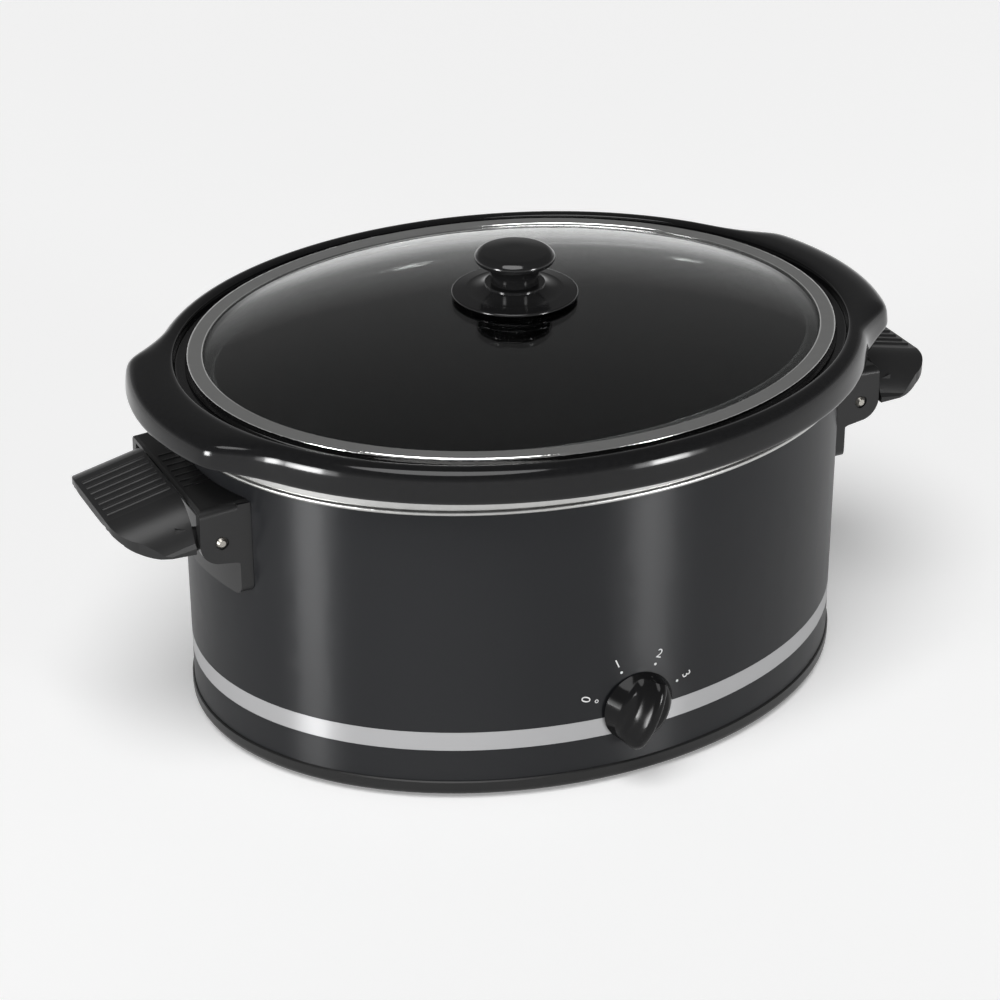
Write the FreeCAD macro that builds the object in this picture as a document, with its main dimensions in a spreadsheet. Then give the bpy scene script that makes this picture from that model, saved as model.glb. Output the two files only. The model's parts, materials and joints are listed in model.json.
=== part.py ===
import FreeCAD, Part
import Sketcher
import math
import os
import re

doc = FreeCAD.newDocument("slow_cooker")
sheet = doc.addObject("Spreadsheet::Sheet", "Sizes")
V = FreeCAD.Vector

sizes = {
    "foot_drop": 2.0,
    "foot_radius": 9.0,
    "foot_x": 112.0,
    "foot_y": 82.0,
    "foot_sink": 1.4,
    "shell_half_x": 172.0,
    "shell_half_y": 136.7,
    "shell_wall": 0.9,
    "base_half_x": 173.0,
    "base_half_y": 137.7,
    "base_top": 10.0,
    "base_floor": 3.0,
    "base_round": 3.0,
    "spigot_gap": 0.2,
    "spigot_wall": 2.0,
    "spigot_top": 22.0,
    "vent_length": 42.0,
    "vent_width": 4.0,
    "vent_pitch": 9.0,
    "sheet_wall": 1.0,
    "flange_top": 164.0,
    "flange_half_x": 174.5,
    "flange_half_y": 141.0,
    "band_low": 157.2,
    "bead_radius": 1.3,
    "well_top_x": 162.0,
    "well_top_y": 126.0,
    "well_low_x": 150.0,
    "well_low_y": 112.0,
    "well_low_z": 26.0,
    "bowl_top_x": 158.5,
    "bowl_top_y": 122.5,
    "bowl_low_x": 146.0,
    "bowl_low_y": 108.0,
    "bowl_low_z": 30.0,
    "bowl_wall": 7.0,
    "seat_gap": 0.3,
    "rim_path_x": 174.5,
    "rim_path_y": 145.0,
    "rim_top": 185.5,
    "rim_crest": 2.6,
    "rim_lip_z": 171.5,
    "rim_lip_out": 9.5,
    "ledge_z": 179.0,
    "lobe_corner_x": 186.2,
    "lobe_corner_y": 48.0,
    "lobe_root_x": 147.0,
    "lobe_root_y": 90.0,
    "lobe_top": 185.3,
    "lobe_low": 173.0,
    "lobe_round": 3.6,
    "lobe_turn": 10.0,
    "lid_path_x": 162.5,
    "lid_path_y": 136.5,
    "lid_ring_half": 4.5,
    "lid_ring_top": 185.5,
    "glass_half_x": 164.5,
    "glass_half_y": 138.5,
    "glass_edge_z": 182.0,
    "glass_rise": 21.5,
    "glass_wall": 4.0,
    "glass_hole": 3.6,
    "collar_radius": 31.5,
    "collar_rim_z": 206.0,
    "neck_radius": 12.0,
    "lid_knob_radius": 19.75,
    "lid_knob_top": 228.0,
    "lid_screw_radius": 2.5,
    "dial_z": 40.0,
    "dial_turn": 23.0,
    "dial_radius": 20.5,
    "dial_back": 139.2,
    "dial_front": 159.3,
    "dial_skirt": 9.5,
    "dial_draft": 1.6,
    "fin_half": 3.2,
    "fin_scoop": 12.0,
    "shaft_radius": 3.0,
    "bush_radius": 5.0,
    "running_gap": 0.05,
    "pivot_x": 176.5,
    "pivot_z": 127.5,
    "rivet_radius": 1.8,
    "rivet_head": 2.9,
    "ear_face": 47.5,
    "ear_wall": 5.0,
    "ear_radius": 10.8,
    "bracket_top": 148.0,
    "bracket_edge_x": 187.0,
    "bracket_edge_z": 145.6,
    "bracket_skin": 3.2,
    "plate_wall": 3.4,
    "plate_gap": 0.15,
    "plate_bow": 162.0,
    "plate_corner": 5.0,
    "plate_low": 97.0,
    "grip_start_x": 189.2,
    "grip_end_x": 226.0,
    "grip_top_in": 147.0,
    "grip_top_out": 138.6,
    "grip_low_z": 124.5,
    "grip_half_in": 47.5,
    "grip_half_out": 40.0,
    "grip_flat_half": 24.0,
    "grip_skin": 3.0,
    "rib_pitch": 6.0,
    "rib_radius": 1.5,
    "tongue_face": 42.2,
    "tongue_wall": 4.0,
    "tongue_radius": 5.5,
    "wall_screw_low": 104.0,
    "wall_screw_high": 138.0,
    "wall_screw_radius": 1.38,
    "shield_half_x": 128.0,
    "shield_half_y": 92.0,
    "shield_low": 14.5,
    "shield_wall": 1.0,
    "post_x": 84.0,
    "post_y": 56.0,
    "post_screw_radius": 1.7,
    "vent_x": 62.0,
    "heater_low": 62.0,
    "heater_high": 108.0,
    "heater_wall": 2.4,
    "tie_radius": 3.0,
    "gland_z": 34.0,
    "gland_radius": 7.0,
}
for row, (word, number) in enumerate(sizes.items(), 1):
    sheet.set("A%d" % row, word)
    sheet.set("B%d" % row, str(number))
    sheet.setAlias("B%d" % row, word)
doc.recompute()


def link(text):
    return re.sub(r"[a-z_]{3,}", lambda m: "Sizes." + m.group(0) if m.group(0) in sizes else m.group(0),
                  str(text))


def bind(item, **values):
    for key, text in values.items():
        item.setExpression(key.replace("__", "."), link(text))
    return item


def value(text):
    return float(sheet.evalExpression(link(text).replace("Sizes.", "")))


def make(kind, name, **values):
    item = doc.addObject(kind, name)
    return bind(item, **values)


def at(item, x="0", y="0", z="0"):
    return bind(item, Placement__Base__x=x, Placement__Base__y=y, Placement__Base__z=z)


def oval(name, half_x, half_y, z):
    return make("Part::Ellipse", name, MajorRadius=half_x, MinorRadius=half_y, Placement__Base__z=z)


def oval_bar(name, half_x, half_y, low, high):
    bar = doc.addObject("Part::Extrusion", name)
    bar.Base = oval(name + "_oval", half_x, half_y, low)
    bar.DirMode = "Custom"
    bar.Dir = V(0, 0, 1)
    bar.Solid = True
    return bind(bar, LengthFwd="%s - (%s)" % (high, low))


def oval_taper(name, levels):
    body = doc.addObject("Part::Loft", name)
    body.Sections = [oval("%s_level%d" % (name, i), *level) for i, level in enumerate(levels)]
    body.Solid = True
    body.Ruled = True
    return body


def cut(name, base, tool):
    item = doc.addObject("Part::Cut", name)
    item.Base = base
    item.Tool = tool
    return item


def fuse(name, *items):
    item = doc.addObject("Part::MultiFuse", name)
    item.Shapes = list(items)
    item.Refine = True
    return item


def common(name, *items):
    item = doc.addObject("Part::MultiCommon", name)
    item.Shapes = list(items)
    return item


def group(name, *items):
    item = doc.addObject("Part::Compound", name)
    item.Links = list(items)
    return item


turns = {
    "XY": FreeCAD.Rotation(),
    "XZ": FreeCAD.Rotation(V(1, 0, 0), 90),
    "YZ": FreeCAD.Rotation(V(1, 1, 1), 120),
}


def outline(name, plane, corners):
    sketch = doc.addObject("Sketcher::SketchObject", name)
    sketch.Placement = FreeCAD.Placement(V(0, 0, 0), turns[plane])
    points = [V(value(c[0]), value(c[1]), 0) for c in corners]
    count = len(points)
    starts = []
    for i, corner in enumerate(corners):
        here, there = points[i], points[(i + 1) % count]
        if len(corner) == 2:
            sketch.addGeometry(Part.LineSegment(here, there))
            starts.append((1, 2))
            continue
        radius, side = value(corner[2]), corner[3]
        chord = there - here
        middle = (here + there) * 0.5
        left = V(-chord.y, chord.x, 0).normalize()
        sag = radius - math.sqrt(max(radius ** 2 - chord.Length ** 2 / 4, 0))
        bulge = middle + left * sag * side
        if side > 0:
            sketch.addGeometry(Part.Arc(there, bulge, here))
            starts.append((2, 1))
        else:
            sketch.addGeometry(Part.Arc(here, bulge, there))
            starts.append((1, 2))
    for i in range(count):
        after = (i + 1) % count
        sketch.addConstraint(Sketcher.Constraint("Coincident", i, starts[i][1], after, starts[after][0]))
    for i, corner in enumerate(corners):
        for axis, text, number in (("DistanceX", corner[0], points[i].x),
                                   ("DistanceY", corner[1], points[i].y)):
            rule = sketch.addConstraint(Sketcher.Constraint(axis, -1, 1, i, starts[i][0], number))
            sketch.setExpression("Constraints[%d]" % rule, link(text))
        if len(corner) > 2:
            rule = sketch.addConstraint(Sketcher.Constraint("Radius", i, value(corner[2])))
            sketch.setExpression("Constraints[%d]" % rule, link(corner[2]))
    return sketch


def pull(name, sketch, direction, length, both=False):
    item = doc.addObject("Part::Extrusion", name)
    item.Base = sketch
    item.DirMode = "Custom"
    item.Dir = V(*direction)
    item.Solid = True
    item.Symmetric = both
    return bind(item, LengthFwd=length)


def turned(name, sketch, base=(0, 0, 0), axis=(0, 0, 1)):
    item = doc.addObject("Part::Revolution", name)
    item.Source = sketch
    item.Base = V(*base)
    item.Axis = V(*axis)
    item.Angle = 360
    item.Solid = True
    return item


def swept(name, sketch, path):
    doc.recompute()
    item = doc.addObject("Part::Sweep", name)
    item.Sections = [sketch]
    item.Spine = (path, ["Edge1"])
    item.Solid = True
    item.Frenet = True
    return item


def rod(name, radius, length, x="0", y="0", z="0", axis=(0, 0, 1)):
    item = make("Part::Cylinder", name, Radius=radius, Height=length)
    item.Placement.Rotation = FreeCAD.Rotation(V(0, 0, 1), V(*axis))
    return at(item, x, y, z)


def block(name, length, width, height, x, y, z):
    return at(make("Part::Box", name, Length=length, Width=width, Height=height), x, y, z)


def mirrored(name, item, normal):
    twin = doc.addObject("Part::Mirroring", name)
    twin.Source = item
    twin.Normal = V(*normal)
    return twin


nodes = {}


def node(name, item):
    nodes[name] = item
    return item


# base pan: rounded skirt, floor, locating spigot, vents and the well for the tie nut
skirt_path = oval("skirt_path", "base_half_x", "base_half_y", "foot_drop")
skirt = swept("skirt", outline("skirt_section", "XZ", [
    ("base_half_x - 9", "foot_drop"),
    ("base_half_x - base_round", "foot_drop", "base_round", -1),
    ("base_half_x", "foot_drop + base_round"),
    ("base_half_x", "base_top - 0.6"),
    ("base_half_x - 0.6", "base_top"),
    ("base_half_x - 9", "base_top"),
]), skirt_path)
floor = oval_bar("floor", "base_half_x - 5", "base_half_y - 5", "foot_drop", "foot_drop + base_floor")
spigot_out = oval_bar("spigot_out", "shell_half_x - shell_wall - spigot_gap",
                      "shell_half_y - shell_wall - spigot_gap", "foot_drop + base_floor", "spigot_top")
spigot_in = oval_bar("spigot_in", "shell_half_x - shell_wall - spigot_gap - spigot_wall",
                     "shell_half_y - shell_wall - spigot_gap - spigot_wall", "foot_drop + base_floor",
                     "spigot_top + 1")
tie_boss = rod("tie_boss", "tie_radius + 8", "12", z="foot_drop")
tie_well = rod("tie_well", "tie_radius + 4.5", "7", z="foot_drop - 0.5")
tie_hole = rod("tie_hole", "tie_radius + 0.3", "20", z="foot_drop")
vents = []
for i in range(5):
    for side in (-1, 1):
        vents.append(block("vent%d%s" % (i, "ab"[side > 0]), "vent_length", "vent_width", "base_floor + 2",
                           "%d * vent_x - vent_length / 2" % side,
                           "(%d) * vent_pitch - vent_width / 2" % (i - 2),
                           "foot_drop - 1"))
foot_wells = []
feet = []
shield_posts = []
shield_screws = []
shield_holes = []
for i, (sx, sy) in enumerate(((1, 1), (1, -1), (-1, 1), (-1, -1))):
    x, y = "%d * foot_x" % sx, "%d * foot_y" % sy
    foot_wells.append(rod("foot_well%d" % i, "foot_radius + 0.15", "foot_sink + 1", x, y, "foot_drop - 1"))
    foot = make("Part::Cone", "foot%d" % i, Radius1="foot_radius - 1.2", Radius2="foot_radius",
                Height="foot_drop + foot_sink - 0.05")
    feet.append(at(foot, x, y, "0"))
    px, py = "%d * post_x" % sx, "%d * post_y" % sy
    shield_posts.append(rod("shield_post%d" % i, "4", "shield_low - foot_drop - base_floor + 0.5", px, py,
                            "foot_drop + base_floor - 0.5"))
    shield_holes.append(rod("shield_hole%d" % i, "post_screw_radius + 0.1", "20", px, py, "6"))
    head = rod("shield_head%d" % i, "post_screw_radius * 2", "2", px, py,
               "shield_low + shield_wall + 0.1")
    stem = rod("shield_stem%d" % i, "post_screw_radius", "8", px, py, "shield_low - 6.5")
    shield_screws.append(fuse("shield_screw%d" % i, head, stem))
pan_solid = fuse("pan_solid", skirt, floor, cut("spigot", spigot_out, spigot_in), tie_boss, *shield_posts)
pan_cuts = fuse("pan_cuts", tie_well, tie_hole, *(vents + foot_wells + shield_holes))
node("base_pan", cut("pan", pan_solid, pan_cuts))
node("rubber_feet", group("feet", *feet))

# outer shell: oval sheet tube with its openings
shell_tube = cut("shell_tube",
                 oval_bar("shell_out", "shell_half_x", "shell_half_y", "base_top",
                          "flange_top - sheet_wall"),
                 oval_bar("shell_in", "shell_half_x - shell_wall", "shell_half_y - shell_wall",
                          "base_top - 1",
                          "flange_top"))
wall_screws = ("wall_screw_low", "wall_screw_high")
dial_hole = rod("dial_hole", "bush_radius + 0.15", "20", y="0 - shell_half_y - 10", z="dial_z",
                axis=(0, 1, 0))
gland_hole = rod("gland_hole", "gland_radius + 0.1", "20", y="shell_half_y - 10", z="gland_z",
                 axis=(0, 1, 0))
screw_holes = [rod("hole_" + level, "wall_screw_radius + 0.62", "shell_half_x * 2 + 20",
                   "0 - shell_half_x - 10", z=level, axis=(1, 0, 0)) for level in wall_screws]
node("outer_shell", cut("shell", shell_tube, fuse("shell_cuts", dial_hole, gland_hole, *screw_holes)))

# heating liner: tapered oval well, flange and turned-down band with a rolled bead
liner_out = oval_taper("liner_out", [("well_low_x - 9", "well_low_y - 9", "well_low_z"),
                                     ("well_low_x - 2.5", "well_low_y - 2.5", "well_low_z + 2.5"),
                                     ("well_low_x", "well_low_y", "well_low_z + 9"),
                                     ("well_top_x", "well_top_y", "flange_top")])
liner_in = oval_taper("liner_in", [("well_low_x - 9", "well_low_y - 9", "well_low_z + sheet_wall"),
                                   ("well_low_x - 2.5 - sheet_wall", "well_low_y - 2.5 - sheet_wall",
                                    "well_low_z + 2.5 + sheet_wall"),
                                   ("well_low_x - sheet_wall", "well_low_y - sheet_wall", "well_low_z + 9"),
                                   ("well_top_x - sheet_wall + 0.1", "well_top_y - sheet_wall + 0.1",
                                    "flange_top + 1")])
flange = cut("flange_ring",
             oval_bar("flange_out", "flange_half_x", "flange_half_y", "flange_top - sheet_wall",
                      "flange_top"),
             oval_bar("flange_in", "well_top_x - 0.6", "well_top_y - 0.6", "flange_top - 3",
                      "flange_top + 1"))
band = cut("band_ring",
           oval_bar("band_out", "flange_half_x", "flange_half_y", "band_low", "flange_top"),
           oval_bar("band_in", "flange_half_x - sheet_wall", "flange_half_y - sheet_wall", "band_low - 1",
                    "flange_top + 1"))
bead_ring = make("Part::Circle", "bead_section", Radius="bead_radius")
bead_ring.Placement.Rotation = turns["XZ"]
at(bead_ring, "flange_half_x", "0", "band_low + bead_radius")
bead = swept("bead", bead_ring, oval("bead_path", "flange_half_x", "flange_half_y", "band_low"))
node("heating_liner", fuse("liner", cut("liner_well", liner_out, liner_in), flange, band, bead))

# central tie: stud under the liner, sleeve and nut
stud = rod("tie_stud", "tie_radius", "well_low_z - foot_drop - 1.5", z="foot_drop + 1.5")
node("tie_bolt", fuse("tie_bolt_solid", stud, rod("tie_head", "tie_radius + 5", "2", z="well_low_z - 2")))
sleeve = cut("sleeve_tube", rod("sleeve_out", "tie_radius + 3", "well_low_z - 2 - foot_drop - 12",
                                z="foot_drop + 12"),
             rod("sleeve_in", "tie_radius + 0.1", "40", z="foot_drop"))
node("tie_sleeve", sleeve)
nut = make("Part::Prism", "tie_nut_hex", Circumradius="tie_radius * 2", Height="4.4")
nut.Polygon = 6
at(nut, "0", "0", "foot_drop + 2.1")
node("tie_nut", cut("tie_nut_solid", nut, rod("tie_nut_hole", "tie_radius + 0.02", "20",
                                              z="foot_drop - 4")))

# heat shield over the floor
shield_plate = oval_bar("shield_plate", "shield_half_x", "shield_half_y", "shield_low",
                        "shield_low + shield_wall")
shield_cuts = fuse("shield_cuts", rod("shield_mid", "tie_radius + 3.4", "10", z="10"), *shield_holes)
node("heat_shield", cut("shield", shield_plate, shield_cuts))
node("shield_screws", group("shield_screw_set", *shield_screws))


def liner_at(axis, z):
    share = "((%s) - well_low_z - 9) / (flange_top - well_low_z - 9)" % z
    return "well_low_%s + (well_top_%s - well_low_%s) * %s" % (axis, axis, axis, share)


def jacket(name, low, high, near, far):
    outer = oval_taper(name + "_outer", [(liner_at("x", low) + " + " + far,
                                          liner_at("y", low) + " + " + far, low),
                                         (liner_at("x", high) + " + " + far,
                                          liner_at("y", high) + " + " + far, high)])
    inner = oval_taper(name + "_inner", [(liner_at("x", low + " - 1") + " + " + near,
                                          liner_at("y", low + " - 1") + " + " + near, low + " - 1"),
                                         (liner_at("x", high + " + 1") + " + " + near,
                                          liner_at("y", high + " + 1") + " + " + near, high + " + 1")])
    return cut(name + "_ring", outer, inner)


# heater band with its gap at the back, its two straps and the terminal block
band_gap = block("band_gap", "14", "40", "120", "0 - 7", "100", "20")
node("heater_band", cut("heater", jacket("heater", "heater_low", "heater_high", "0.15",
                                         "0.15 + heater_wall"), band_gap))
strap_low = jacket("strap_low", "heater_low + 8", "heater_low + 14", "0.3 + heater_wall",
                   "0.9 + heater_wall")
strap_high = jacket("strap_high", "heater_high - 14", "heater_high - 8", "0.3 + heater_wall",
                    "0.9 + heater_wall")
node("band_straps", group("straps", strap_low, strap_high))
fuse_body = rod("fuse_body", "2.2", "20", "50", "0", "well_low_z - 2.5", axis=(1, 0, 0))
node("thermal_fuse", fuse_body)
clip_out = block("clip_out", "8", "16", "6", "56", "0 - 8", "well_low_z - 6.1")
clip_gap = fuse("clip_gap", rod("clip_bore", "2.3", "30", "45", "0", "well_low_z - 2.5", axis=(1, 0, 0)),
                block("clip_slot", "20", "4.6", "4", "50", "0 - 2.3", "well_low_z - 2.5"),
                block("clip_left", "20", "6", "5.2", "50", "0 - 9", "well_low_z - 6.5"),
                block("clip_right", "20", "6", "5.2", "50", "3", "well_low_z - 6.5"))
node("fuse_clip", cut("clip", clip_out, clip_gap))

# rotary switch, its nut and shaft
switch_box = block("switch_box", "25", "13", "25", "0 - 12.5", "0 - shell_half_y + shell_wall + 0.8",
                   "dial_z - 12.5")
switch_neck = rod("switch_neck", "bush_radius", "9", y="0 - shell_half_y - 4.5", z="dial_z", axis=(0, 1, 0))
switch_bore = rod("switch_bore", "shaft_radius + running_gap", "18.5", y="0 - shell_half_y - 8", z="dial_z",
                  axis=(0, 1, 0))
tabs = [block("switch_tab%d" % i, "5", "5", "0.8", "%d - 2.5" % x, "0 - shell_half_y + shell_wall + 12",
              "dial_z + %d" % z) for i, (x, z) in enumerate(((-7, -8), (7, -8), (-7, 6), (7, 6)))]
node("rotary_switch", cut("switch", fuse("switch_solid", switch_box, switch_neck, *tabs), switch_bore))
hex_nut = make("Part::Prism", "switch_hex", Circumradius="bush_radius + 2.9", Height="2.2")
hex_nut.Polygon = 6
hex_nut.Placement.Rotation = FreeCAD.Rotation(V(0, 0, 1), V(0, 1, 0))
at(hex_nut, "0", "0 - shell_half_y - 2.4", "dial_z")
node("switch_nut", cut("switch_nut_solid", hex_nut, rod("switch_nut_hole", "bush_radius + 0.02", "20",
                                                        y="0 - shell_half_y - 10", z="dial_z",
                                                        axis=(0, 1, 0))))
shaft = rod("shaft_rod", "shaft_radius", "dial_front - 7 - shell_half_y + 9", y="7 - dial_front",
            z="dial_z",
            axis=(0, 1, 0))
node("switch_shaft", shaft)

# control knob: domed disc with two scoops that leave a grip fin
dome = turned("dome", outline("dome_section", "XY", [
    ("0", "0 - dial_front"),
    ("0", "0 - dial_back"),
    ("dial_radius", "0 - dial_back"),
    ("dial_radius", "0 - dial_back - 1.5"),
    ("dial_radius - dial_draft", "0 - dial_back - dial_skirt", "1.6", 1),
    ("dial_radius - dial_draft - 1.4", "0 - dial_back - dial_skirt - 1.2", "26", 1),
]), axis=(0, 1, 0))
scoops = []
scoop_low = "dial_back + dial_skirt - 1"
for side in (-1, 1):
    tag = "ab"[side > 0]
    scoop = rod("scoop" + tag, "fin_scoop", "80", "%d * (fin_half + fin_scoop)" % side,
                "0 - (%s) - fin_scoop" % scoop_low, "0 - 40")
    front = block("scoop_front" + tag, "30", "30", "80", "%d * (fin_half + 15) - 15" % side,
                  "0 - (%s) - fin_scoop - 30" % scoop_low, "0 - 40")
    far_side = block("scoop_side" + tag, "30", "fin_scoop", "80",
                     "%d * (fin_half + fin_scoop + 15) - 15" % side,
                     "0 - (%s) - fin_scoop" % scoop_low, "0 - 40")
    scoops += [scoop, front, far_side]
under = rod("under_out", "dial_radius - 2", "3.4", y="0 - dial_back - 3.4", axis=(0, 1, 0))
shaft_well = rod("shaft_well", "shaft_radius + 0.02", "40", y="7 - dial_front - 0.1", axis=(0, 1, 0))
knob_plain = cut("knob_plain", dome, fuse("knob_cuts", under, shaft_well, *scoops))
knob = doc.addObject("Part::Compound", "knob_turned")
knob.Links = [knob_plain]
knob.Placement.Rotation = FreeCAD.Rotation(V(0, 1, 0), value("dial_turn"))
bind(knob, Placement__Base__z="dial_z")
node("control_knob", knob)

# rear inlet gland
gland = turned("gland_turn", outline("gland_section", "XY", [
    ("0", "shell_half_y - 8"),
    ("gland_radius", "shell_half_y - 8"),
    ("gland_radius", "shell_half_y + 0.1"),
    ("gland_radius + 3", "shell_half_y + 0.1"),
    ("gland_radius + 3", "shell_half_y + 2"),
    ("gland_radius + 0.5", "shell_half_y + 3.5"),
    ("gland_radius - 1.5", "shell_half_y + 9"),
    ("0", "shell_half_y + 9"),
]), axis=(0, 1, 0))
gland_bored = cut("gland_bored", gland, rod("gland_bore", "3.4", "60", y="shell_half_y - 30",
                                            axis=(0, 1, 0)))
gland_set = group("gland_set", gland_bored)
at(gland_set, "0", "0", "gland_z")
node("cord_gland", gland_set)

# crock: bowl, swept rim and end lobes
bowl_out = oval_taper("bowl_out", [("bowl_low_x - 20", "bowl_low_y - 20", "bowl_low_z"),
                                   ("bowl_low_x - 9", "bowl_low_y - 9", "bowl_low_z + 3"),
                                   ("bowl_low_x - 3", "bowl_low_y - 3", "bowl_low_z + 9"),
                                   ("bowl_low_x", "bowl_low_y", "bowl_low_z + 20"),
                                   ("bowl_top_x", "bowl_top_y", "flange_top + 6")])
bowl_in = oval_taper("bowl_in", [("bowl_low_x - 20 - bowl_wall", "bowl_low_y - 20 - bowl_wall",
                                  "bowl_low_z + bowl_wall"),
                                 ("bowl_low_x - 9 - bowl_wall", "bowl_low_y - 9 - bowl_wall",
                                  "bowl_low_z + bowl_wall + 3"),
                                 ("bowl_low_x - 3 - bowl_wall", "bowl_low_y - 3 - bowl_wall",
                                  "bowl_low_z + bowl_wall + 9"),
                                 ("bowl_low_x - bowl_wall", "bowl_low_y - bowl_wall",
                                  "bowl_low_z + bowl_wall + 20"),
                                 ("bowl_top_x - bowl_wall", "bowl_top_y - bowl_wall", "ledge_z - 4"),
                                 ("bowl_top_x - bowl_wall + 3", "bowl_top_y - bowl_wall + 3",
                                  "ledge_z + 2")])
rim = swept("rim", outline("rim_section", "XZ", [
    ("rim_path_x - 36", "flange_top + seat_gap"),
    ("rim_path_x - 3", "flange_top + seat_gap"),
    ("rim_path_x - 1", "flange_top + seat_gap + 2.4"),
    ("rim_path_x + rim_lip_out - 2", "rim_lip_z - 2", "2", -1),
    ("rim_path_x + rim_lip_out", "rim_lip_z"),
    ("rim_path_x + rim_crest * 2", "rim_top - rim_crest", "rim_crest", -1),
    ("rim_path_x", "rim_top - rim_crest"),
    ("rim_path_x - 0.6", "ledge_z + 2", "2", 1),
    ("rim_path_x - 2.6", "ledge_z"),
    ("rim_path_x - 36", "ledge_z"),
]), oval("rim_path", "rim_path_x", "rim_path_y", "ledge_z"))
lobe_sketch = outline("lobe_outline", "XY", [
    ("lobe_root_x", "0 - lobe_root_y", "100", 1),
    ("lobe_corner_x", "0 - lobe_corner_y", "150", -1),
    ("lobe_corner_x", "lobe_corner_y", "100", 1),
    ("lobe_root_x", "lobe_root_y"),
])
bind(lobe_sketch, Placement__Base__z="lobe_low")
lobe_pad = pull("lobe_pad", lobe_sketch, (0, 0, 1), "lobe_top - lobe_low")
doc.recompute()
lobe_turned = doc.addObject("Part::Fillet", "lobe_turned")
lobe_turned.Base = lobe_pad
edges = []
for i, edge in enumerate(lobe_pad.Shape.Edges, 1):
    box = edge.BoundBox
    if box.ZLength > 1 and box.XMin > value("lobe_corner_x") - 1:
        edges.append((i, value("lobe_turn"), value("lobe_turn")))
lobe_turned.Edges = edges
doc.recompute()
lobe = doc.addObject("Part::Fillet", "lobe")
lobe.Base = lobe_turned
edges = []
for i, edge in enumerate(lobe_turned.Shape.Edges, 1):
    middle = edge.valueAt((edge.FirstParameter + edge.LastParameter) / 2)
    if edge.BoundBox.ZLength < 0.01 and middle.x > value("lobe_root_x") + 5:
        edges.append((i, value("lobe_round"), value("lobe_round")))
lobe.Edges = edges
lobe_trim = cut("lobe_trim", lobe, oval_bar("lobe_room", "rim_path_x + rim_crest", "rim_path_y + rim_crest",
                                            "lobe_low - 5",
                                            "lobe_top + 5"))
crock_solid = fuse("crock_solid", bowl_out, rim, lobe_trim, mirrored("lobe_twin", lobe_trim, (1, 0, 0)))
node("crock", cut("crock_hollow", crock_solid, bowl_in))

# lid: domed glass, steel ring, knob, collar, washer and screw
glass_caps = []
for word, drop in (("outer", "0"), ("inner", "glass_wall")):
    cap = make("Part::Ellipsoid", "glass_" + word, Radius1="glass_rise / 0.4",
               Radius2="glass_half_x * 1.25",
               Radius3="glass_half_y * 1.25")
    glass_caps.append(at(cap, "0", "0", "glass_edge_z - glass_rise * 1.5 - " + drop))
glass_room = oval_bar("glass_room", "glass_half_x", "glass_half_y", "glass_edge_z - 1.6",
                      "glass_edge_z + 40")
glass_dome = common("glass_dome", cut("glass_skin", *glass_caps), glass_room)
node("lid_glass", cut("glass", glass_dome, rod("glass_drill", "glass_hole", "40", z="glass_edge_z")))
ring = swept("ring", outline("ring_section", "XZ", [
    ("lid_path_x - lid_ring_half", "ledge_z + seat_gap + 0.2"),
    ("lid_path_x + lid_ring_half - 1", "ledge_z + seat_gap", "1", -1),
    ("lid_path_x + lid_ring_half", "ledge_z + seat_gap + 1"),
    ("lid_path_x + lid_ring_half - 0.7", "ledge_z + seat_gap + 2.2"),
    ("lid_path_x + lid_ring_half - 0.7", "lid_ring_top - 1.6", "1.6", -1),
    ("lid_path_x + lid_ring_half - 2.3", "lid_ring_top"),
    ("lid_path_x - lid_ring_half + 1.2", "lid_ring_top", "1.2", -1),
    ("lid_path_x - lid_ring_half", "lid_ring_top - 1.2"),
]), oval("ring_path", "lid_path_x", "lid_path_y", "ledge_z"))
node("lid_rim", cut("ring_seated", ring, glass_dome))
apex = "glass_edge_z + glass_rise"
node("lid_collar", turned("collar", outline("collar_section", "XZ", [
    ("glass_hole", apex + " + 0.1"),
    ("collar_radius - 3", apex + " + 0.1"),
    ("collar_radius", "collar_rim_z - 1.2", "0.9", -1),
    ("collar_radius - 1", "collar_rim_z"),
    ("collar_radius - 7", "collar_rim_z + 0.7", "20", 1),
    ("neck_radius + 3", "collar_rim_z + 3"),
    ("neck_radius + 3", "collar_rim_z + 4.4"),
    ("glass_hole", "collar_rim_z + 4.4"),
])))
knob_low = "collar_rim_z + 4.45"
node("lid_knob", turned("lid_knob_turn", outline("lid_knob_section", "XZ", [
    ("0", "lid_knob_top"),
    ("0", apex + " + 12"),
    ("lid_screw_radius", apex + " + 12"),
    ("lid_screw_radius", knob_low),
    ("neck_radius", knob_low),
    ("neck_radius", knob_low + " + 1.5", "10", 1),
    ("lid_knob_radius - 1", "lid_knob_top - 6.6", "2.4", -1),
    ("lid_knob_radius - 0.6", "lid_knob_top - 2.6", "5", -1),
    ("lid_knob_radius - 4", "lid_knob_top - 0.8", "90", -1),
    ("4", "lid_knob_top"),
])))
low_glass = apex + " - glass_wall"
washer = cut("washer_ring", rod("washer_out", "9", "1.2", z=low_glass + " - 1.3"),
             rod("washer_in", "lid_screw_radius + 0.2", "6", z=low_glass + " - 4"))
node("lid_washer", washer)
node("lid_screw", fuse("lid_screw_solid", rod("lid_screw_head", "5", "2.6", z=low_glass + " - 4"),
                       rod("lid_screw_stem", "lid_screw_radius - 0.02", "glass_wall + 11 + 2",
                           z=low_glass + " - 2.2")))

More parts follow.
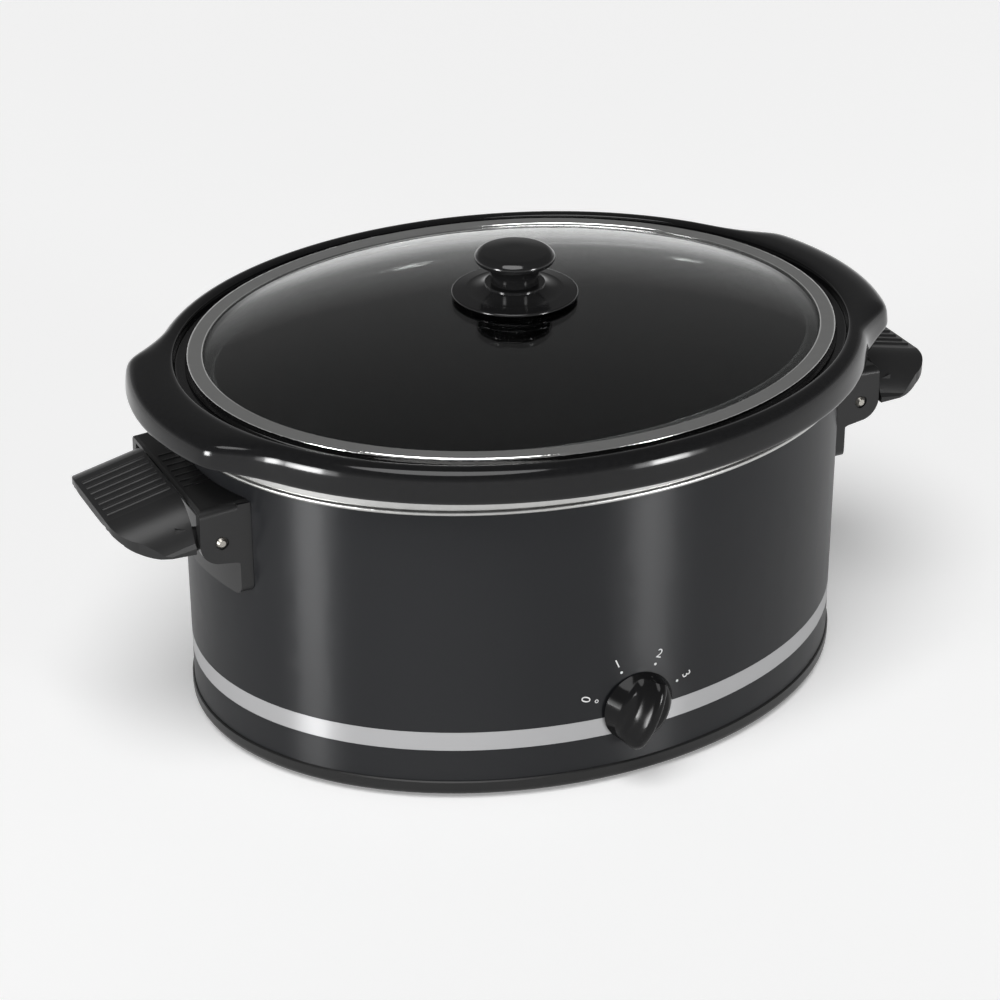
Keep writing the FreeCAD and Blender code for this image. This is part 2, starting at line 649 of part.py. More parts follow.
# handles: bracket with ears, rivets, screws, and the folding grip
wall_room = oval_bar("wall_room", "shell_half_x + plate_gap", "shell_half_y + plate_gap", "60", "200")
plate_skin = cut("plate_skin", oval_bar("plate_out", "shell_half_x + plate_gap + plate_wall",
                                        "plate_bow", "plate_low", "bracket_top - 2"),
                 wall_room)
plate = common("plate", plate_skin, pull("plate_face", outline("plate_outline", "YZ", [
    ("0 - ear_face + plate_corner", "plate_low"),
    ("ear_face - plate_corner", "plate_low", "plate_corner", -1),
    ("ear_face", "plate_low + plate_corner"),
    ("ear_face", "bracket_top - 2"),
    ("0 - ear_face", "bracket_top - 2"),
    ("0 - ear_face", "plate_low + plate_corner", "plate_corner", -1),
]), (1, 0, 0), "240"))
ear_sketch = outline("ear_outline", "XZ", [
    ("150", "pivot_z - 18"),
    ("pivot_x - 11", "pivot_z - 18"),
    ("pivot_x - 11", "pivot_z - 17", "5.5", 1),
    ("pivot_x - 7", "pivot_z - 12"),
    ("pivot_x + 1", "pivot_z - ear_radius", "ear_radius", -1),
    ("pivot_x + ear_radius", "pivot_z"),
    ("bracket_edge_x", "bracket_edge_z - 5"),
    ("bracket_edge_x", "bracket_edge_z - 1.2"),
    ("bracket_edge_x - 1.5", "bracket_edge_z"),
    ("150", "bracket_top"),
])
ear_full = pull("ear_full", ear_sketch, (0, 1, 0), "ear_face * 2", True)
doc.recompute()
ear_round = doc.addObject("Part::Fillet", "ear_round")
ear_round.Base = ear_full
edges = []
for i, edge in enumerate(ear_full.Shape.Edges, 1):
    box = edge.BoundBox
    if box.ZMin > value("bracket_edge_z") - 0.01 and box.YLength < 0.01:
        edges.append((i, 4.0, 4.0))
ear_round.Edges = edges
ear_room = pull("ear_room", outline("ear_inside", "XZ", [
    ("140", "pivot_z - 40"),
    ("pivot_x + 40", "pivot_z - 40"),
    ("pivot_x + 40", "bracket_edge_z - bracket_skin - 4.2"),
    ("bracket_edge_x", "bracket_edge_z - bracket_skin"),
    ("140", "bracket_top - bracket_skin"),
]), (0, 1, 0), "ear_face * 2 - ear_wall * 2", True)
hood_fall = math.atan((value("bracket_top") - value("bracket_edge_z")) / (value("bracket_edge_x") - 151.5))
hood_ribs = [rod("hood_rib%d" % i, "rib_radius", "34", "150", "%d * rib_pitch" % (i - 3),
                 "bracket_top - 1.15",
                 axis=(math.cos(hood_fall), 0, -math.sin(hood_fall))) for i in range(7)]
hood = cut("hood", fuse("hood_ribbed", cut("hood_open", ear_round, ear_room), *hood_ribs), wall_room)
rivet_bore = rod("rivet_bore", "rivet_radius + 0.02", "240", "pivot_x", "0 - 120", "pivot_z",
                 axis=(0, 1, 0))
sinks = [rod("rivet_sink%d" % i, "rivet_head + 0.6", "10", "pivot_x", y, "pivot_z", axis=(0, 1, 0))
         for i, y in enumerate(("ear_face - 0.8", "0 - ear_face - 9.2"))]
pilot = [rod("pilot_" + level, "wall_screw_radius + 0.02", "10", "shell_half_x - 4.5", "0", level,
             axis=(1, 0, 0)) for level in wall_screws]
bosses = [rod("pilot_boss", "5", "6.5", "shell_half_x + plate_gap + 0.4", "0", "wall_screw_high",
              axis=(1, 0, 0))]
bracket = cut("bracket", fuse("bracket_solid", plate, hood, *bosses),
              fuse("bracket_cuts", rivet_bore, *(sinks + pilot)))
node("handle_bracket_right", bracket)
node("handle_bracket_left", mirrored("bracket_twin", bracket, (1, 0, 0)))
screw_set = []
for sx in (1, -1):
    for level in wall_screws:
        tag = "%s_%s" % ("lr"[sx > 0], level)
        stem = rod("stem_" + tag, "wall_screw_radius", "6.4", "%d * (shell_half_x - 2)" % sx, "0", level,
                   axis=(sx, 0, 0))
        head = rod("head_" + tag, "3.6", "2", "%d * (shell_half_x - shell_wall - 2.1)" % sx, "0", level,
                   axis=(sx, 0, 0))
        screw_set.append(fuse("wall_screw_" + tag, stem, head))
node("bracket_screws", group("wall_screws", *screw_set))
rivets = []
for i, side in enumerate((1, -1)):
    stem = rod("rivet_stem%d" % i, "rivet_radius", "ear_wall + tongue_wall + 0.6", "pivot_x",
               "%d * (ear_face - ear_wall - tongue_wall - 1.2)" % side, "pivot_z", axis=(0, side, 0))
    head = make("Part::Cone", "rivet_top%d" % i, Radius1="rivet_head", Radius2="rivet_head - 1.3",
                Height="1.5")
    head.Placement.Rotation = FreeCAD.Rotation(V(0, 0, 1), V(0, side, 0))
    at(head, "pivot_x", "%d * (ear_face - 0.75)" % side, "pivot_z")
    rivets.append(fuse("rivet%d" % i, stem, head))
rivet_pair = group("rivet_pair", *rivets)
node("pivot_rivets_right", rivet_pair)
node("pivot_rivets_left", mirrored("rivet_twin", rivet_pair, (1, 0, 0)))

slope = "(grip_top_in - grip_top_out) / (grip_end_x - grip_start_x)"


fall = math.atan(value(slope))
tilt = (math.cos(fall), 0, -math.sin(fall))
grip_side = pull("grip_side", outline("grip_side_outline", "XZ", [
    ("grip_start_x", "grip_low_z"),
    ("grip_end_x - 20", "grip_low_z", "30", -1),
    ("grip_end_x", "grip_top_out - 2.6"),
    ("grip_end_x - 0.8", "grip_top_out + 0.18"),
    ("grip_start_x", "grip_top_in"),
]), (0, 1, 0), "120", True)
grip_plan = pull("grip_plan", outline("grip_plan_outline", "XY", [
    ("grip_start_x - 1", "0 - grip_half_in"),
    ("grip_start_x + 12", "0 - grip_half_in + 0.8", "60", -1),
    ("grip_end_x - 11", "0 - grip_half_out", "16", -1),
    ("grip_end_x - 1", "0 - grip_half_out + 13", "300", -1),
    ("grip_end_x - 1", "grip_half_out - 13", "16", -1),
    ("grip_end_x - 11", "grip_half_out", "60", -1),
    ("grip_start_x + 12", "grip_half_in - 0.8"),
    ("grip_start_x - 1", "grip_half_in"),
]), (0, 0, 1), "240")


def grip_arch(name, inset, low):
    half = "grip_half_in - " + inset
    section = outline(name + "_section", "YZ", [
        ("0 - (%s)" % half, low),
        (half, low),
        (half, "grip_low_z + 3"),
        (half + " - 2", "grip_low_z + 5", "25", -1),
        ("grip_flat_half", "grip_top_in - " + inset),
        ("0 - grip_flat_half", "grip_top_in - " + inset, "25", -1),
        ("0 - (%s) + 2" % half, "grip_low_z + 5"),
        ("0 - (%s)" % half, "grip_low_z + 3"),
    ])
    bind(section, Placement__Base__x="grip_start_x")
    return pull(name, section, tilt, "60")


grip_out = common("grip_out", grip_side, grip_plan, grip_arch("grip_roll", "0", "grip_low_z - 20"))
hollow_side = pull("hollow_side", outline("hollow_side_outline", "XZ", [
    ("grip_start_x + grip_skin", "grip_low_z - 8"),
    ("grip_end_x + 8", "grip_low_z - 8"),
    ("grip_end_x + 8", "grip_top_out - grip_skin - 8 * (%s)" % slope),
    ("grip_start_x + grip_skin", "grip_top_in - grip_skin - grip_skin * (%s)" % slope),
]), (0, 1, 0), "grip_half_out * 2 - 8", True)
grip_in = common("grip_in", hollow_side, grip_arch("hollow_roll", "grip_skin", "grip_low_z - 20"))
ribs_under = [block("under_rib%d" % i, "60", "1.8", "60", "grip_start_x", "%d * rib_pitch - 0.9" % (i - 5),
                    "100")
              for i in range(11)]
rib_fill = common("rib_fill", grip_out, fuse("under_ribs", *ribs_under),
                  block("rib_depth", "80", "120", "60", "grip_start_x", "0 - 60", "grip_low_z + 1.5"))
top_ribs = [rod("top_rib%d" % i, "rib_radius", "grip_end_x - grip_start_x - 4", "grip_start_x + 1.5",
                "%d * rib_pitch" % (i - 3), "grip_top_in - 1.1", axis=tilt) for i in range(7)]
tongues = []
for i, side in enumerate((1, -1)):
    low_y = "tongue_face - tongue_wall" if side > 0 else "0 - tongue_face"
    arm = pull("tongue_arm%d" % i, outline("tongue_outline%d" % i, "XZ", [
        ("pivot_x", "pivot_z + tongue_radius"),
        ("pivot_x", "pivot_z - tongue_radius"),
        ("pivot_x + 2", "pivot_z - tongue_radius"),
        ("grip_start_x + 8", "grip_low_z + 1"),
        ("grip_start_x + 8", "pivot_z + tongue_radius + 4"),
        ("grip_start_x", "pivot_z + tongue_radius + 2"),
    ]), (0, 1, 0), "tongue_wall")
    at(arm, "0", low_y, "0")
    tongue = fuse("tongue%d" % i, arm, rod("tongue_eye%d" % i, "tongue_radius", "tongue_wall", "pivot_x",
                                           low_y,
                                           "pivot_z", axis=(0, 1, 0)))
    tongues.append(tongue)
grip_body = cut("grip_body", cut("grip_shell", grip_out, grip_in),
                block("grip_mouth", "8", "grip_half_in * 2 - 12", "20", "grip_start_x - 2",
                      "0 - grip_half_in + 6",
                      "grip_low_z - 16"))
grip_full = fuse("grip_full", grip_body, rib_fill, *(top_ribs + tongues))
grip_bore = rod("grip_bore", "rivet_radius + running_gap", "240", "pivot_x", "0 - 120", "pivot_z",
                axis=(0, 1, 0))
grip = cut("grip", grip_full, grip_bore)
node("grip_right", grip)
node("grip_left", mirrored("grip_twin", grip, (1, 0, 0)))

doc.recompute()
broken = [item.Name for item in doc.Objects if "Invalid" in item.State or "Error" in item.State]
if broken:
    raise RuntimeError("does not build: " + " ".join(broken))
os.makedirs("parts", exist_ok=True)
for name, item in nodes.items():
    shape = item.Shape
    if shape.isNull() or not shape.isValid() or not shape.Solids:
        raise RuntimeError("no valid solid: " + name)
    item.Label = name
    shape.exportStep("parts/%s.step" % name)
    box = shape.BoundBox
    print("%-22s solids %d  vol %9.0f  x %.1f %.1f  y %.1f %.1f  z %.1f %.1f" % (
        name, len(shape.Solids), shape.Volume, box.XMin, box.XMax, box.YMin, box.YMax, box.ZMin, box.ZMax))
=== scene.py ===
import json
import math

import bpy
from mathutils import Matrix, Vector


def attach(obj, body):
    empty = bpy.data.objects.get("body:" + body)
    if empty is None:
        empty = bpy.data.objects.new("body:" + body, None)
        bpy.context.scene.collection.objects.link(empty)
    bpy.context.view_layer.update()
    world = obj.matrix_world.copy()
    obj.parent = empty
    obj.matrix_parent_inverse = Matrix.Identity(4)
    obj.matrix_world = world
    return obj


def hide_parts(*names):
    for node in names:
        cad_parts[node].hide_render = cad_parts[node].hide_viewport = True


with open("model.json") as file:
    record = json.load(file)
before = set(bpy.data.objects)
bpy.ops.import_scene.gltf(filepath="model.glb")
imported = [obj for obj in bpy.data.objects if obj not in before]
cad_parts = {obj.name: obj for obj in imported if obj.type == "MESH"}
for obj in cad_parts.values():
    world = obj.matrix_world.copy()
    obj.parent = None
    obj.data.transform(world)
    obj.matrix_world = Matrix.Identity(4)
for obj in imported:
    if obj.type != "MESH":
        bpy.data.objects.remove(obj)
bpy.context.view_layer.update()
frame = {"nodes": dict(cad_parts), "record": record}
nodes = frame["nodes"]
scene = bpy.context.scene
scene.view_settings.view_transform = "Standard"
print("frame loaded:", len(nodes), "nodes")


class Wire:
    def __init__(self, sheet, socket):
        self.sheet, self.socket = sheet, socket

    def math(self, operation, *values):
        return self.sheet.add("ShaderNodeMath", {"operation": operation}, *values)

    def __add__(self, other):
        return self.math("ADD", self, other)

    def __radd__(self, other):
        return self.math("ADD", other, self)

    def __sub__(self, other):
        return self.math("SUBTRACT", self, other)

    def __mul__(self, other):
        return self.math("MULTIPLY", self, other)

    def __gt__(self, other):
        return self.math("GREATER_THAN", self, other)

    def __lt__(self, other):
        return self.math("LESS_THAN", self, other)


class Sheet:
    def __init__(self, name):
        self.material = bpy.data.materials.new(name)
        self.material.use_nodes = True
        self.tree = self.material.node_tree
        self.shader = self.tree.nodes["Principled BSDF"]

    def add(self, kind, settings, *values, out=0, **named):
        item = self.tree.nodes.new(kind)
        for key, setting in settings.items():
            setattr(item, key, setting)
        for spot, given in list(enumerate(values)) + list(named.items()):
            self.feed(item.inputs[spot], given)
        return Wire(self, item.outputs[out])

    def feed(self, socket, given):
        if isinstance(given, Wire):
            self.tree.links.new(given.socket, socket)
        elif given is not None:
            socket.default_value = given

    def place(self):
        return self.add("ShaderNodeTexCoord", {}, out="Object")

    def noise(self, size, detail=3, rough=0.5, vector=None):
        return self.add("ShaderNodeTexNoise", {}, Vector=vector or self.place(), Scale=size, Detail=detail,
                        Roughness=rough)

    def mix(self, mask, first, second):
        blend = self.tree.nodes.new("ShaderNodeMix")
        blend.data_type = "RGBA"
        for socket, given in ((blend.inputs[0], mask), (blend.inputs[6], first), (blend.inputs[7], second)):
            if isinstance(given, (tuple, list)) and len(given) == 3:
                given = (*given, 1)
            self.feed(socket, given)
        return Wire(self, blend.outputs[2])

    def bump(self, height, strength, distance):
        return self.add("ShaderNodeBump", {}, Strength=strength, Distance=distance, Height=height)

    def set(self, **values):
        for key, given in values.items():
            socket = self.shader.inputs[key.replace("_", " ")]
            if isinstance(given, (tuple, list)) and len(given) == 3 and socket.type == "RGBA":
                given = (*given, 1)
            self.feed(socket, given)
        return self.material


paint = {
    "coat": (0.0085, 0.0090, 0.0102),
    "fleck": (0.0150, 0.0157, 0.0175),
    "stripe": (0.42, 0.42, 0.426),
    "stripeLow": 0.0273,
    "stripeHigh": 0.0374,
    "rough": 0.36,
}


def shellPaint():
    sheet = Sheet("charcoal paint")
    spot = sheet.add("ShaderNodeSeparateXYZ", {}, sheet.place(), out="Z")
    stripe = (spot > paint["stripeLow"]) * (spot < paint["stripeHigh"])
    grain = sheet.noise(2600, 2)
    cloud = sheet.noise(18, 2)
    colour = sheet.mix(grain, paint["coat"], paint["fleck"])
    colour = sheet.mix(stripe, colour, paint["stripe"])
    rough = paint["rough"] + (grain - 0.5) * 0.10 + (cloud - 0.5) * 0.04 - stripe * 0.03
    return sheet.set(Base_Color=colour, Metallic=0.12 + stripe * 0.25, Roughness=rough,
                     Specular_IOR_Level=0.32, Anisotropic=1.0, Anisotropic_Rotation=0.25,
                     Normal=sheet.bump(grain, 0.03, 0.0003))


def mouldedPlastic(name, colour, rough, grainSize, grainDepth, shine=0.4):
    sheet = Sheet(name)
    grain = sheet.noise(grainSize, 3)
    wear = sheet.noise(22, 4)
    pale = tuple(c * 1.6 + 0.002 for c in colour)
    return sheet.set(Base_Color=sheet.mix(wear, colour, pale), Roughness=rough + (wear - 0.5) * 0.10,
                     Specular_IOR_Level=shine, Normal=sheet.bump(grain, grainDepth, 0.0004))


def bareMetal(name, colour, dull, rough, patch, bump=0.04):
    sheet = Sheet(name)
    cloud = sheet.noise(patch, 5, 0.6)
    fine = sheet.noise(patch * 9, 3)
    mottle = cloud * 0.7 + fine * 0.3
    return sheet.set(Base_Color=sheet.mix(mottle, dull, colour), Metallic=1.0,
                     Roughness=rough + (mottle - 0.5) * 0.22, Normal=sheet.bump(fine, bump, 0.0004))


def crockGlaze():
    sheet = Sheet("black glaze")
    wave = sheet.noise(26, 2)
    speck = sheet.noise(420, 2)
    return sheet.set(Base_Color=sheet.mix(speck, (0.0045, 0.0045, 0.0048), (0.0090, 0.0090, 0.0095)),
                     Roughness=0.09 + (speck - 0.5) * 0.03, Specular_IOR_Level=0.30,
                     Normal=sheet.bump(wave, 0.06, 0.0008))


def clearGlass():
    sheet = Sheet("tempered glass")
    smear = sheet.noise(9, 3)
    return sheet.set(Base_Color=sheet.mix(smear, (0.955, 0.98, 0.968), (0.985, 0.995, 0.99)),
                     Roughness=0.01 + smear * 0.02, Transmission_Weight=1.0, IOR=1.47)


def wrapCloth():
    sheet = Sheet("heater wrap")
    weave = sheet.add("ShaderNodeTexWave", {"bands_direction": "Z"}, Vector=sheet.place(), Scale=300.0,
                      Distortion=2.0)
    patch = sheet.noise(30, 4)
    return sheet.set(Base_Color=sheet.mix(patch, (0.34, 0.30, 0.25), (0.52, 0.48, 0.42)),
                     Roughness=0.75 + (patch - 0.5) * 0.1, Normal=sheet.bump(weave, 0.3, 0.0004))


finishes = {
    "shell_paint": shellPaint(),
    "base_plastic": mouldedPlastic("black base plastic", (0.008, 0.008, 0.008), 0.34, 1900, 0.08, 0.28),
    "foot_rubber": mouldedPlastic("foot rubber", (0.018, 0.018, 0.018), 0.75, 900, 0.25),
    "liner_metal": bareMetal("liner sheet", (0.60, 0.60, 0.59), (0.42, 0.42, 0.41), 0.34, 60, 0.10),
    "plain_steel": bareMetal("zinc steel", (0.66, 0.66, 0.68), (0.46, 0.46, 0.47), 0.32, 90),
    "shield_metal": bareMetal("shield sheet", (0.80, 0.80, 0.80), (0.62, 0.62, 0.63), 0.34, 40),
    "heater_wrap": wrapCloth(),
    "fuse_body": mouldedPlastic("ceramic case", (0.70, 0.68, 0.62), 0.35, 500, 0.05),
    "switch_plastic": mouldedPlastic("switch case", (0.05, 0.05, 0.05), 0.5, 800, 0.1),
    "dial_plastic": mouldedPlastic("dial plastic", (0.005, 0.005, 0.0052), 0.12, 700, 0.01, 0.14),
    "gland_rubber": mouldedPlastic("gland rubber", (0.016, 0.016, 0.016), 0.65, 900, 0.2),
    "handle_plastic": mouldedPlastic("handle plastic", (0.0120, 0.0120, 0.0122), 0.32, 2200, 0.05, 0.30),
    "rivet_metal": bareMetal("rivet nickel", (0.42, 0.40, 0.37), (0.30, 0.29, 0.26), 0.38, 400),
    "crock_glaze": crockGlaze(),
    "lid_glass": clearGlass(),
    "lid_steel": bareMetal("polished ring", (0.90, 0.90, 0.89), (0.78, 0.78, 0.77), 0.08, 120, 0.02),
    "lid_knob_plastic": mouldedPlastic("lid knob plastic", (0.006, 0.006, 0.0062), 0.09, 500, 0.02),
    "washer_rubber": mouldedPlastic("washer rubber", (0.08, 0.08, 0.08), 0.6, 900, 0.1),
}
sharpEdge = math.radians(34)
for part in frame["record"]["subparts"]:
    body = nodes[part["node"]]
    body.data.materials.clear()
    body.data.materials.append(finishes[part["material_slot"]])
    body.data.shade_smooth()
    body.data.set_sharp_from_angle(angle=sharpEdge)
print("finishes set:", len(finishes))

crockForm = {
    "steps": 400,
    "crestX": 0.1735,
    "crestY": 0.1450,
    "rimOut": 0.0095,
    "lobeReach": 0.0130,
    "lobeHalf": 0.0495,
    "lobeFade": 0.029,
    "lobeTurn": 0.0018,
    "lobeCurve": 1.7,
    "rimStretch": 1.1,
    "bowl": (  # half length, half depth, height
        (0.060, 0.040, 0.0370), (0.119, 0.081, 0.0372), (0.1310, 0.0930, 0.0405), (0.1365, 0.0985, 0.0460),
        (0.1390, 0.1010, 0.0570), (0.1440, 0.1070, 0.1050), (0.1505, 0.1145, 0.1700),
        (0.1520, 0.1160, 0.1768), (0.1550, 0.1190, 0.1790),
    ),
    "rim": (  # offset from the crest line, height, share of the lobe, rise on the lobe
        (-0.0035, 0.1790, 0, 0), (-0.0016, 0.1791, 0, 0), (-0.0008, 0.1800, 0, 0), (-0.0006, 0.1838, 0, 0),
        (-0.0001, 0.1846, 0, 0), (0.0012, 0.1852, 0, 0), (0.0034, 0.1855, 0.20, 0.0001),
        (0.0058, 0.1846, 0.62, 0.0006), (0.0076, 0.1828, 0.92, 0.0010), (0.0086, 0.1800, 1.0, 0.0008),
        (0.0091, 0.1765, 1.0, 0.0004), (0.0096, 0.1712, 1.0, 0.0012), (0.0094, 0.1692, 0.95, 0.0026),
        (0.0074, 0.1682, 0.55, 0.0034), (0.0030, 0.1675, 0.15, 0.0020), (-0.0004, 0.1668, 0, 0),
        (-0.0016, 0.1652, 0, 0), (-0.0036, 0.1643, 0, 0),
    ),
    "foot": (  # half length, half depth, height
        (0.1590, 0.1230, 0.1643), (0.1574, 0.1214, 0.1620), (0.1470, 0.1090, 0.0560),
        (0.1455, 0.1075, 0.0450), (0.1400, 0.1020, 0.0345), (0.1300, 0.0920, 0.0303),
        (0.1200, 0.0820, 0.0300), (0.060, 0.042, 0.0300),
    ),
}


def lobeOut(t):
    side = abs((crockForm["crestY"] + crockForm["rimOut"]) * math.sin(t))
    soft = crockForm["lobeTurn"]
    past = soft * math.log1p(math.exp((side - crockForm["lobeHalf"]) / soft))
    return crockForm["lobeReach"] * max(1 - past / crockForm["lobeFade"], 0) ** crockForm["lobeCurve"]


def crockRing(t, halfX, halfY, z, push=0.0):
    across, along = math.cos(t) / halfX, math.sin(t) / halfY
    size = math.hypot(across, along)
    return halfX * math.cos(t) + push * across / size, halfY * math.sin(t) + push * along / size, z


def fullTurn(steps):
    return [2 * math.pi * i / steps for i in range(steps)]


def smoothRings(rings, parts):
    smooth = [rings[0]]
    for row in range(len(rings) - 1):
        near = [rings[min(max(row + k, 0), len(rings) - 1)] for k in (-1, 0, 1, 2)]
        for part in range(parts):
            t = part / parts
            weights = (1 - t) ** 3, 3 * t ** 3 - 6 * t ** 2 + 4, 3 * (t + t ** 2 - t ** 3) + 1, t ** 3
            smooth.append([tuple(sum(w * p[axis] for w, p in zip(weights, points)) / 6 for axis in range(3))
                           for points in zip(*near)])
    return smooth + [rings[-1]]


def stackedMesh(name, rings, start, end, parts=3):
    rings = smoothRings(rings, parts)
    steps = len(rings[0])
    points = [start] + [point for ring in rings for point in ring] + [end]
    faces = []
    for i in range(steps):
        j = (i + 1) % steps
        faces.append((0, 1 + j, 1 + i))
        for row in range(len(rings) - 1):
            low, high = 1 + row * steps, 1 + (row + 1) * steps
            faces.append((low + i, low + j, high + j, high + i))
        last = 1 + (len(rings) - 1) * steps
        faces.append((last + i, last + j, len(points) - 1))
    mesh = bpy.data.meshes.new(name)
    mesh.from_pydata(points, [], faces)
    mesh.flip_normals()
    mesh.shade_smooth()
    return mesh


def formedPiece(name, mesh, body, node, finish):
    piece = bpy.data.objects.new(name, mesh)
    scene.collection.objects.link(piece)
    mesh.materials.append(finishes[finish])
    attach(piece, body)
    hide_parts(node)


def makeCrock():
    turns = fullTurn(crockForm["steps"])
    rings = [[crockRing(t, *level) for t in turns] for level in crockForm["bowl"]]
    for offset, z, share, rise in crockForm["rim"]:
        halfX = crockForm["crestX"] + offset * crockForm["rimStretch"]
        halfY = crockForm["crestY"] + offset
        rings.append([crockRing(t, halfX, halfY, z + rise * lobeOut(t) / crockForm["lobeReach"],
                                share * lobeOut(t)) for t in turns])
    rings += [[crockRing(t, *level) for t in turns] for level in crockForm["foot"]]
    floor = crockForm["bowl"][0][2]
    under = crockForm["foot"][-1][2]
    mesh = stackedMesh("glazed_crock", rings, (0, 0, floor), (0, 0, under))
    formedPiece("glazed_crock", mesh, "crock", "crock", "crock_glaze")


makeCrock()
print("crock formed")

knobForm = {
    "steps": 96,
    "rows": 16,
    "height": 0.040,
    "back": 0.1376,
    "turn": 23,
    "radius": 0.0186,
    "depth": 0.0174,
    "scoopFloor": 0.0076,
    "ridge": 0.0052,
    "ridgeCurve": 3,
    "bow": 0.0050,
    "edgeDrop": 0.0014,
    "edgeStart": 0.80,
    "rowCurve": 0.9,
    "sideLevels": (0.90, 0.6, 0.25, 0.06, 0.0),
    "draftEnd": 0.0006,
    "draftSide": 0.0040,
}


def knobPoint(across, along, out):
    turn = math.radians(knobForm["turn"])
    x = across * math.cos(turn) + along * math.sin(turn)
    z = along * math.cos(turn) - across * math.sin(turn)
    return x, -knobForm["back"] - out, knobForm["height"] + z


def knobTop(across, along):
    rise = math.exp(-(abs(across) / knobForm["ridge"]) ** knobForm["ridgeCurve"])
    top = knobForm["scoopFloor"] + (knobForm["depth"] - knobForm["scoopFloor"]) * rise
    return top - knobForm["bow"] * (along / knobForm["radius"]) ** 2


def knobEdge(a, level):
    draft = knobForm["draftEnd"] + knobForm["draftSide"] * math.sin(a) ** 2
    return knobForm["radius"] - draft * level


def frontPoint(a, share):
    far = knobEdge(a, 1) * share
    across, along = far * math.sin(a), far * math.cos(a)
    start = knobForm["edgeStart"]
    drop = knobForm["edgeDrop"] * max(0.0, (share - start) / (1 - start)) ** 2
    return knobPoint(across, along, knobTop(across, along) - drop)


def sidePoint(a, level):
    edge = knobEdge(a, level)
    across, along = edge * math.sin(a), edge * math.cos(a)
    return knobPoint(across, along, (knobTop(across, along) - knobForm["edgeDrop"]) * level)


def makeKnob():
    rows, turns = knobForm["rows"], fullTurn(knobForm["steps"])
    rings = []
    for row in range(1, rows + 1):
        share = math.sin(0.5 * math.pi * row / rows) ** knobForm["rowCurve"]
        rings.append([frontPoint(a, share) for a in turns])
    for level in knobForm["sideLevels"]:
        rings.append([sidePoint(a, level) for a in turns])
    mesh = stackedMesh("dial_knob", rings, knobPoint(0, 0, knobForm["depth"]), knobPoint(0, 0, 0))
    formedPiece("dial_knob", mesh, "dial", "control_knob", "dial_plastic")


makeKnob()
print("dial knob formed")

dial = {
    "height": 0.0392,
    "wallX": 0.172,
    "wallY": 0.1367,
    "lift": 0.00025,
    "stops": (-69, -23, 23, 69),
    "dotRing": 0.0236,
    "dotSize": 0.00072,
    "dotHollow": 0.02,
    "offSize": 0.000972,
    "offHollow": 0.6,
    "numberRing": 0.0292,
    "numberSize": 0.0068,
    "ink": (0.70, 0.70, 0.70),
}


def wallPoint(x, z, lift):
    return Vector((x, -dial["wallY"] * math.sqrt(max(1 - (x / dial["wallX"]) ** 2, 0)) - lift, z))


def inkMaterial():
    sheet = Sheet("dial ink")
    fade = sheet.noise(900, 2)
    return sheet.set(Base_Color=sheet.mix(fade, tuple(c * 0.88 for c in dial["ink"]), dial["ink"]),
                     Roughness=0.45 + (fade - 0.5) * 0.1)


inkFinish = inkMaterial()


def printedPiece(name, mesh):
    piece = bpy.data.objects.new(name, mesh)
    scene.collection.objects.link(piece)
    mesh.materials.clear()
    mesh.materials.append(inkFinish)
    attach(piece, "cooker")


def ringMesh(name, centreX, centreZ, inner, outer, steps=28):
    points, faces = [], []
    for a in fullTurn(steps):
        for r in (inner, outer):
            points.append(wallPoint(centreX + r * math.sin(a), centreZ + r * math.cos(a), dial["lift"]))
    for i in range(steps):
        j = (i + 1) % steps
        faces.append((2 * i, 2 * i + 1, 2 * j + 1, 2 * j))
    mesh = bpy.data.meshes.new(name)
    mesh.from_pydata(points, [], faces)
    return mesh


def numberMesh(word, turn):
    curve = bpy.data.curves.new("number " + word, "FONT")
    curve.body = word
    curve.size = dial["numberSize"]
    curve.align_x = "CENTER"
    curve.align_y = "CENTER"
    curve.resolution_u = 6
    carrier = bpy.data.objects.new("number carrier", curve)
    scene.collection.objects.link(carrier)
    bpy.context.view_layer.update()
    mesh = bpy.data.meshes.new_from_object(carrier.evaluated_get(bpy.context.evaluated_depsgraph_get()))
    bpy.data.objects.remove(carrier)
    for vertex in mesh.vertices:
        across, up = vertex.co.x, dial["numberRing"] + vertex.co.y
        vertex.co = wallPoint(across * math.cos(turn) + up * math.sin(turn),
                              dial["height"] + up * math.cos(turn) - across * math.sin(turn), dial["lift"])
    mesh.name = "dial_number_" + word
    return mesh


for word, turn in enumerate(dial["stops"]):
    a = math.radians(turn)
    dotX, dotZ = dial["dotRing"] * math.sin(a), dial["height"] + dial["dotRing"] * math.cos(a)
    kind = "off" if word == 0 else "dot"
    outer = dial[kind + "Size"]
    inner = outer * dial[kind + "Hollow"]
    printedPiece("dial_dot_%d" % word, ringMesh("dial_dot_%d" % word, dotX, dotZ, inner, outer))
    printedPiece("dial_number_%d" % word, numberMesh(str(word), a))
print("dial printed")

studio = {
    "floor": (0.96, 0.96, 0.96),
    "floorGlow": 0.22,
    "floorWear": 0.985,
    "floorHalf": 12,
    "sky": (  # share of the way from straight down to straight up, brightness
        (0.0, 0.85), (0.515, 0.85), (0.57, 0.40), (0.68, 0.15), (1.0, 0.15),
    ),
    "overhead": {"from": (-0.42, -0.55, 1.5), "strength": 1.85, "spread": 40},
    "beam": 30,
    "lamps": (  # name, place, aim, width, height, power
        ("left strip", (-1.44, -0.41, 0.24), (0, 0, 0.23), 0.34, 0.45, 0.46),
        ("left glow", (-1.47, -0.42, 0.24), (0, 0, 0.23), 0.62, 0.45, 0.26),
        ("right strip", (0.66, -1.35, 0.24), (0, 0, 0.23), 0.26, 0.45, 0.29),
        ("right glow", (0.68, -1.38, 0.24), (0, 0, 0.23), 0.52, 0.45, 0.16),
    ),
}


